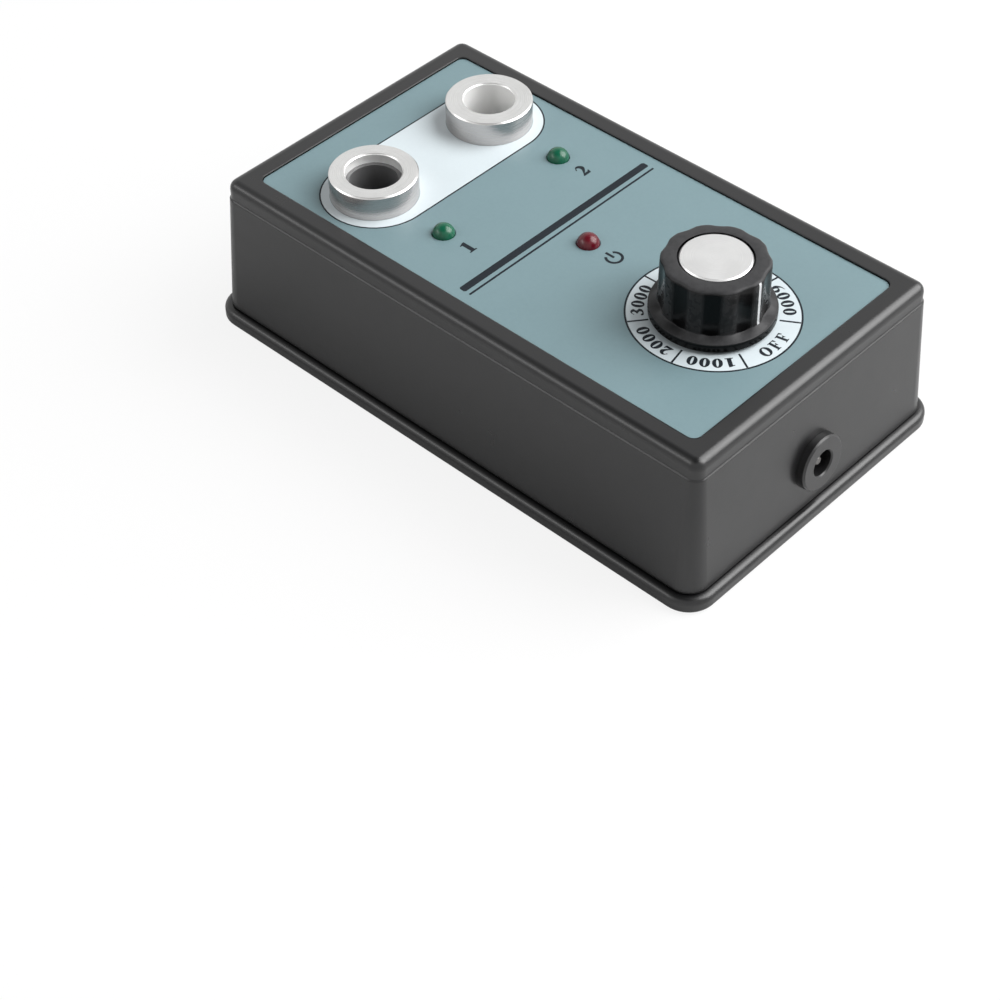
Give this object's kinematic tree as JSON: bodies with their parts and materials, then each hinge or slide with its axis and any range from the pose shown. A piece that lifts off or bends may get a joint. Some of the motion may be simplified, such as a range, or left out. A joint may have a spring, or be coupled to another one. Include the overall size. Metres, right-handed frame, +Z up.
{
  "type": "spark plug tester",
  "caption": "Bench spark plug tester: a leaning-walled plastic case with steel plug sockets, signal lamps, a fluted speed knob on a dial and a low-voltage inlet.",
  "frame": {"origin": "centre of the base cover's underside, on the surface that the tester stands on", "axes": "+X across the label to the reader's right, +Y from the knob end to the socket end, +Z up"},
  "size_m": [0.0824, 0.1408, 0.0515],
  "materials": {
    "case_plastic": "satin",
    "plated_steel": "satin",
    "label_print": "satin",
    "turned_steel": "turned",
    "tag_brass": "satin",
    "black_nylon": "satin",
    "contact_brass": "polished",
    "spring_steel": "satin",
    "green_lens": "polished",
    "red_lens": "polished",
    "tinned_wire": "satin",
    "black_bakelite": "polished",
    "spun_aluminium": "spun",
    "shaft_aluminium": "satin",
    "brown_phenolic": "satin",
    "inlet_plastic": "satin",
    "inlet_contact": "polished",
    "green_board": "satin",
    "potting_resin": "satin",
    "chip_plastic": "matte",
    "capacitor_sleeve": "satin",
    "red_insulation": "satin",
    "black_insulation": "satin",
    "grey_insulation": "satin"
  },
  "bodies": {
    "case": {"case_shell": "case_plastic", "base_cover": "case_plastic", "cover_screws": "plated_steel", "face_label": "label_print", "left_socket_ring": "turned_steel", "right_socket_ring": "turned_steel", "ring_nuts": "plated_steel", "earth_tags": "tag_brass", "left_insulator_tube": "black_nylon", "right_insulator_tube": "black_nylon", "left_contact_spring": "spring_steel", "right_contact_spring": "spring_steel", "left_contact_seat": "contact_brass", "right_contact_seat": "contact_brass", "left_green_lamp": "green_lens", "right_green_lamp": "green_lens", "red_lamp": "red_lens", "lamp_wires": "tinned_wire", "pot_housing": "plated_steel", "pot_bushing": "plated_steel", "pot_washer": "plated_steel", "pot_nut": "plated_steel", "pot_switch": "brown_phenolic", "pot_tags": "tag_brass", "inlet_body": "inlet_plastic", "inlet_nut": "plated_steel", "inlet_pin": "inlet_contact", "inlet_tags": "tag_brass", "circuit_board": "green_board", "board_screws": "plated_steel", "left_coil": "potting_resin", "right_coil": "potting_resin", "control_chip": "chip_plastic", "power_transistors": "chip_plastic", "heat_sinks": "shaft_aluminium", "capacitors": "capacitor_sleeve", "hv_leads": "red_insulation", "earth_leads": "black_insulation", "pot_leads": "grey_insulation", "inlet_leads": "red_insulation"},
    "knob": {"knob_body": "black_bakelite", "knob_cap": "spun_aluminium", "knob_bush": "contact_brass", "knob_set_screw": "spring_steel", "pot_shaft": "shaft_aluminium", "pot_rotor": "brown_phenolic"},
    "left_plunger": {"left_contact": "contact_brass"},
    "right_plunger": {"right_contact": "contact_brass"}
  },
  "joints": [
    {"name": "knob_turn", "type": "hinge", "parent": "case", "child": "knob", "pos_m": [0, -0.0393, 0.045], "axis": [0, 0, -1], "range_deg": [0, 300]},
    {"name": "left_contact_press", "type": "slide", "parent": "case", "child": "left_plunger", "axis": [0, 0, -1], "range_m": [0, 0.004], "stiffness_N_per_m": 500, "springref_m": -0.003, "deforming": ["left_contact_spring"]},
    {"name": "right_contact_press", "type": "slide", "parent": "case", "child": "right_plunger", "axis": [0, 0, -1], "range_m": [0, 0.004], "stiffness_N_per_m": 500, "springref_m": -0.003, "deforming": ["right_contact_spring"]}
  ]
}
